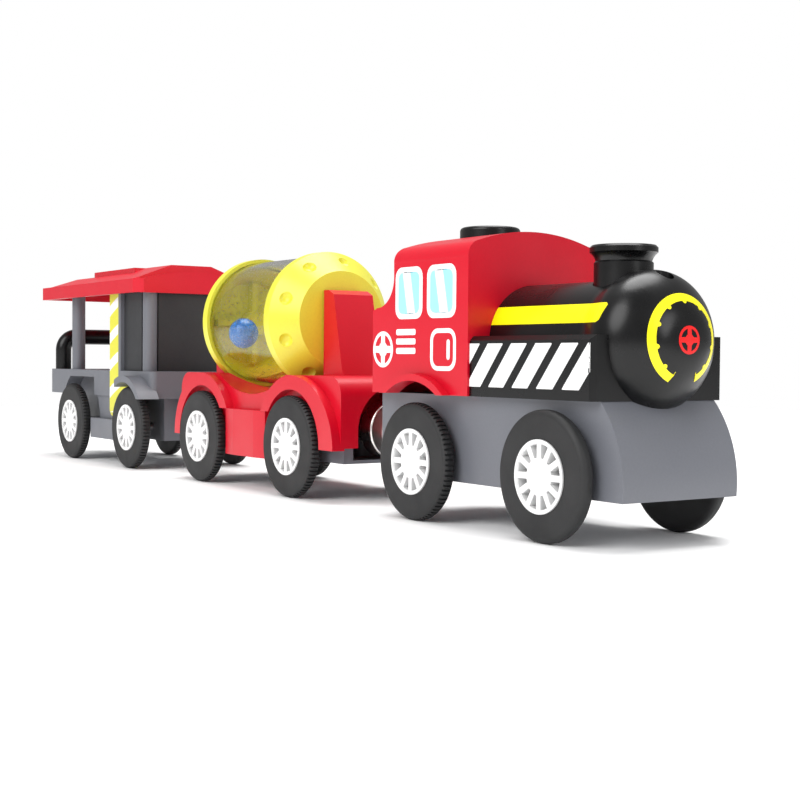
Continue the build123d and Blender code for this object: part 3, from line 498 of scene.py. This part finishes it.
class TRAINSET_OT_finishes(bpy.types.Operator):
    """Gives every moulded and metal part of the train its finish"""

    bl_idname = "trainset.finishes"
    bl_label = "Part finishes"

    def execute(self, context):
        slots = {s["node"]: s["material_slot"] for s in frame["record"]["subparts"]}
        for node, obj in frame["nodes"].items():
            material = finish_named(slots[node])
            if not obj.material_slots:
                obj.data.materials.append(material)
            for material_slot in obj.material_slots:
                material_slot.material = material
        return {"FINISHED"}


class TRAINSET_OT_cab_prints(bpy.types.Operator):
    """Prints the windows, door, louvre and valve wheel on both sides of the cab"""

    bl_idname = "trainset.cab_prints"
    bl_label = "Cab prints"

    def execute(self, context):
        cab = surface_of("cab")
        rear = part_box("cab")[0].x
        rows = bar_row_tree()
        frames, panes, glares = [], [], []
        for start, end in ((rear + 8.7 * MM, rear + 18.5 * MM), (rear + 20.1 * MM, rear + 30.0 * MM)):
            low, high = 40.97 * MM, 51.6 * MM
            rim = 1.1 * MM
            outer = rounded_box(start, end, low, high, 2.2 * MM)
            inner = rounded_box(start + rim, end - rim, low + rim, high - rim, 1.4 * MM)
            frames.append([outer, inner])
            width = end - start - 2 * rim
            lean = 0.24 * width
            middle = start + rim + 0.46 * width
            glare = [(middle - 0.02 * width, low + rim), (middle + 0.34 * width, low + rim),
                     (middle + 0.34 * width - lean, high - rim), (middle - 0.02 * width - lean, high - rim)]
            panes.append([inner, glare])
            glares.append([glare])
        door_rear, door_front = rear + 21.4 * MM, rear + 30.1 * MM
        door_low, door_high = 30.5 * MM, 38.9 * MM
        door = [rounded_box(door_rear, door_front, door_low, door_high, 2.4 * MM),
                rounded_box(door_rear + 0.9 * MM, door_front - 0.9 * MM,
                            door_low + 0.9 * MM, door_high - 0.9 * MM, 1.6 * MM)]
        handle = [rounded_box(rear + 27.0 * MM, rear + 28.05 * MM, 32.7 * MM, 36.7 * MM, 0.5 * MM)]
        wheel_u, wheel_v = rear + 4.05 * MM, 34.77 * MM
        for side, label in ((-1, "right"), (1, "left")):
            to_world, direction = on_side(side)
            for i in range(2):
                print_on(f"cab_window_frame_{label}_{i}", flat_shape("frame", frames[i]), cab,
                         to_world, direction, "ink_white", LOCO, "white_plastic")
                print_on(f"cab_window_pane_{label}_{i}", flat_shape("pane", panes[i]), cab,
                         to_world, direction, "ink_blue", LOCO, "blue_plastic")
                print_on(f"cab_window_glare_{label}_{i}", flat_shape("glare", glares[i]), cab,
                         to_world, direction, "ink_white", LOCO, "white_plastic")
            print_on(f"cab_door_{label}", join_flat("door", [flat_shape("a", door), flat_shape("b", handle)]),
                     cab, to_world, direction, "ink_white", LOCO, "white_plastic")
            louvre = repeated("louvre", rows, {"Count": 3, "Step": (0.0, 1.93 * MM, 0.0),
                                               "Width": 7.1 * MM, "Height": 1.25 * MM,
                                               "Lean": 0.0, "Corner": 0.45 * MM}, "ink_white")
            clip_flat(louvre, 0, 1, (rear + 12.6 * MM, 34.44 * MM))
            print_on(f"cab_louvre_{label}", louvre, cab, to_world, direction,
                     "ink_white", LOCO, "white_plastic")
            print_on(f"cab_valve_wheel_{label}", valve_wheel(wheel_u, wheel_v, 3.8 * MM), cab,
                     to_world, direction, "ink_white", LOCO, "white_plastic")
        return {"FINISHED"}


def valve_wheel(cu, cv, radius):
    """Rim with four tapering spokes and a hub, seen flat: a disc with four openings."""
    rim = 0.2 * radius
    hub = 0.3 * radius
    outlines = [arc_points(cu, cv, radius, 0, 360, 40)[:-1]]
    for quarter in range(4):
        start, end = 90 * quarter, 90 * quarter + 90
        opening = arc_points(cu, cv, radius - rim, start + 13, end - 13, 8)
        opening += arc_points(cu, cv, hub + 0.12 * radius, end - 28, start + 28, 4)
        outlines.append(opening)
    return flat_shape("valve", outlines)


class TRAINSET_OT_boiler_prints(bpy.types.Operator):
    """Prints the yellow stripe on the barrel and the slanted bars on the side boxes"""

    bl_idname = "trainset.boiler_prints"
    bl_label = "Boiler prints"

    def execute(self, context):
        boiler = surface_of("boiler")
        cab_front = 100.85 * MM
        box_front = 135.3 * MM
        bar_low, bar_high = 27.6 * MM, 35.85 * MM
        lean = 6.9 * MM
        rows = bar_row_tree()
        stripe = [(cab_front, 39.5 * MM), (132.6 * MM, 39.5 * MM), (133.4 * MM, 39.9 * MM),
                  (134.4 * MM, 42.6 * MM), (134.0 * MM, 42.95 * MM), (cab_front, 42.95 * MM)]
        for side, label in ((-1, "right"), (1, "left")):
            to_world, direction = on_side(side)
            print_on(f"boiler_stripe_{label}", flat_shape("stripe", [stripe]), boiler,
                     to_world, direction, "ink_yellow", LOCO, "yellow_plastic")
            bars = repeated("bars", rows, {
                "Count": 6, "Step": (sizes().bar_pitch, 0.0, 0.0), "Width": sizes().bar_width,
                "Height": bar_high - bar_low, "Lean": lean, "Corner": 0.12 * MM}, "ink_white")
            bottom_left = min(v.co.x for v in bars.vertices)
            low = min(v.co.y for v in bars.vertices)
            clip_flat(bars, cab_front, box_front,
                      (92.75 * MM - bottom_left, bar_low - low))
            print_on(f"side_box_bars_{label}", bars, boiler, to_world, direction,
                     "ink_white", LOCO, "white_plastic")
        return {"FINISHED"}


class TRAINSET_OT_nose_gauge(bpy.types.Operator):
    """Prints the open ring with its beads and the red valve wheel on the nose"""

    bl_idname = "trainset.nose_gauge"
    bl_label = "Nose gauge"

    def execute(self, context):
        boiler = surface_of("boiler")
        centre_v = 36.6 * MM
        radius = sizes().gauge_radius
        half = 0.67 * MM
        gap = 23                # degrees each side of the foot of the ring
        start, end = -90 + gap, 270 - gap
        ring = arc_points(0, centre_v, radius + half, start, end, 72)
        tip = arc_points(0, centre_v, radius - half, end, start, 72)
        hook = 1.1 * MM
        reach = radius - half - hook * 0.5
        for angle, outline in ((end, ring), (start, tip)):
            away = math.radians(angle)
            outline.append((math.cos(away) * reach, centre_v + math.sin(away) * reach))
        beads = repeated("beads", bead_ring_tree(), {
            "Count": sizes().gauge_beads, "Radius": radius - half,
            "Start": math.radians(start + 22), "Sweep": math.radians(end - start - 44),
            "Bead": 0.45 * MM}, "ink_yellow")
        clip_flat(beads, -1, 1, (0, centre_v))

        def to_world(u, v):
            return (160 * MM, u, v)

        nose = (-1, 0, 0)
        print_on("nose_gauge_ring", flat_shape("ring", [ring + tip]), boiler, to_world, nose,
                 "ink_yellow", LOCO, "yellow_plastic")
        print_on("nose_gauge_beads", beads, boiler, to_world, nose,
                 "ink_yellow", LOCO, "yellow_plastic")
        print_on("nose_valve_wheel", valve_wheel(0, centre_v - 0.1 * MM, 2.5 * MM), boiler,
                 to_world, nose, "ink_red", LOCO, "red_plastic")
        return {"FINISHED"}


class TRAINSET_OT_hazard_stripes(bpy.types.Operator):
    """Prints the curved white stripes on the outer faces of the hazard boards"""

    bl_idname = "trainset.hazard_stripes"
    bl_label = "Hazard stripes"

    def execute(self, context):
        boards = surface_of("hazard_panels")
        low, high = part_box("hazard_panels")
        margin = 0.15 * MM
        width = high.x - low.x - 2 * margin
        rise = 7.2 * MM
        band = 3.2 * MM
        steps = 8
        stripes = []
        for k in range(-2, 7):
            foot = low.z + 5.4 * MM + k * sizes().hazard_pitch
            across = [i / steps for i in range(steps + 1)]
            lower = [(low.x + margin + width * t, foot + rise * t ** 0.85) for t in across]
            upper = [(u, v + band - 0.5 * MM * i / steps) for i, (u, v) in enumerate(lower)]
            limit = (low.z + 1.2 * MM, high.z - margin)
            if upper[-1][1] < limit[0] + MM or lower[0][1] > limit[1] - MM:
                continue
            outline = lower + upper[::-1]
            outline = [(u, min(max(v, limit[0]), limit[1])) for u, v in outline]
            stripes.append(flat_shape("stripe", [outline]))
        for side, label in ((-1, "right"), (1, "left")):
            to_world, direction = on_side(side)
            print_on(f"hazard_stripes_{label}", join_flat("hazard", stripes), boards,
                     to_world, direction, "ink_white", CABIN_WAGON, "white_plastic",
                     longest=HAZARD_EDGE, trim=True)
        return {"FINISHED"}


# ---------------------------------------------------------------- stage

CAMERA_PLACE = (311.9 * MM, -173.05 * MM, 32.8 * MM)
CAMERA_AZIMUTH = math.radians(56.26)
CAMERA_PITCH = math.radians(1.731)
CAMERA_ROLL = math.radians(-0.49)
CAMERA_LENS = 61.29


def soft_light(name, place, target, size, power):
    lamp = bpy.data.lights.new(name, "AREA")
    lamp.shape = "DISK"
    lamp.size = size
    lamp.energy = power
    obj = bpy.data.objects.new(name, lamp)
    obj.location = place
    obj.rotation_euler = (Vector(target) - Vector(place)).to_track_quat("-Z", "Y").to_euler()
    bpy.context.scene.collection.objects.link(obj)
    return obj


class TRAINSET_OT_stage(bpy.types.Operator):
    """Makes the pale floor, the soft lights and the camera"""

    bl_idname = "trainset.stage"
    bl_label = "Studio stage"

    def execute(self, context):
        scene = context.scene
        floor_mesh = bpy.data.meshes.new("studio_floor")
        corners = [(x * FLOOR_HALF, y * FLOOR_HALF, 0)
                   for x, y in ((-1, -1), (1, -1), (1, 1), (-1, 1))]
        floor_mesh.from_pydata(corners, [], [(0, 1, 2, 3)])
        floor = bpy.data.objects.new("studio_floor", floor_mesh)
        scene.collection.objects.link(floor)
        floor_mesh.materials.append(surface("floor_card_matt_white", "FFFFFF", 0.7, 2 * MM,
                                            0.0001 * MM, tint=0.0))
        world = bpy.data.worlds.new("studio_white")
        world.use_nodes = True
        scene.world = world
        background = world.node_tree.nodes["Background"]
        background.inputs["Color"].default_value = (1, 1, 1, 1)
        ray = add(world.node_tree, "ShaderNodeLightPath")
        strength = add(world.node_tree, "ShaderNodeMapRange", {
            "Value": ray.outputs["Is Camera Ray"], "To Min": 0.42, "To Max": 1.0})
        world.node_tree.links.new(strength.outputs["Result"], background.inputs["Strength"])
        scene.view_settings.view_transform = "Standard"
        middle = (0, 0, 0.03)
        soft_light("key_softbox", (0.25, -0.9, 0.7), middle, 0.9, 9)
        soft_light("front_softbox", (1.1, 0.15, 0.45), middle, 0.6, 3)
        soft_light("top_softbox", (-0.1, 0.2, 1.1), middle, 0.9, 13)
        view = bpy.data.cameras.new("train_camera")
        view.lens = CAMERA_LENS
        view.sensor_width = 36
        view.clip_start = 0.01
        camera = bpy.data.objects.new("train_camera", view)
        forward = Vector((-math.sin(CAMERA_AZIMUTH) * math.cos(CAMERA_PITCH),
                          math.cos(CAMERA_AZIMUTH) * math.cos(CAMERA_PITCH),
                          -math.sin(CAMERA_PITCH)))
        right = forward.cross(Vector((0, 0, 1))).normalized()
        down = forward.cross(right)
        c, s = math.cos(CAMERA_ROLL), math.sin(CAMERA_ROLL)
        axis_x = c * right + s * down
        axis_y = s * right - c * down
        turned = Matrix((axis_x, axis_y, -forward)).transposed().to_4x4()
        camera.matrix_world = Matrix.Translation(CAMERA_PLACE) @ turned
        scene.collection.objects.link(camera)
        scene.camera = camera
        return {"FINISHED"}


# ---------------------------------------------------------------- add-on

OPERATORS = (
    TRAINSET_OT_finishes,
    TRAINSET_OT_cab_prints,
    TRAINSET_OT_boiler_prints,
    TRAINSET_OT_nose_gauge,
    TRAINSET_OT_hazard_stripes,
    TRAINSET_OT_stage,
)


class TRAINSET_PT_panel(bpy.types.Panel):
    """Lists the train's pieces, sizes and colours"""

    bl_idname = "TRAINSET_PT_panel"
    bl_label = "Toy Train"
    bl_space_type = "VIEW_3D"
    bl_region_type = "UI"
    bl_category = "Toy Train"

    def draw(self, context):
        for operator in OPERATORS:
            self.layout.operator(operator.bl_idname)
        for group in (sizes(), colours()):
            for name in group.bl_rna.properties.keys():
                if name not in ("rna_type", "name"):
                    self.layout.prop(group, name)


CLASSES = (TrainColours, TrainSizes, *OPERATORS, TRAINSET_PT_panel)


def register():
    for cls in CLASSES:
        bpy.utils.register_class(cls)
    bpy.types.Scene.train_colours = bpy.props.PointerProperty(type=TrainColours)
    bpy.types.Scene.train_sizes = bpy.props.PointerProperty(type=TrainSizes)


def unregister():
    del bpy.types.Scene.train_sizes
    del bpy.types.Scene.train_colours
    for cls in reversed(CLASSES):
        bpy.utils.unregister_class(cls)


def main():
    register()
    bpy.ops.trainset.finishes()
    bpy.ops.trainset.cab_prints()
    bpy.ops.trainset.boiler_prints()
    bpy.ops.trainset.nose_gauge()
    bpy.ops.trainset.hazard_stripes()
    bpy.ops.trainset.stage()


if __name__ == "__main__":
    main()
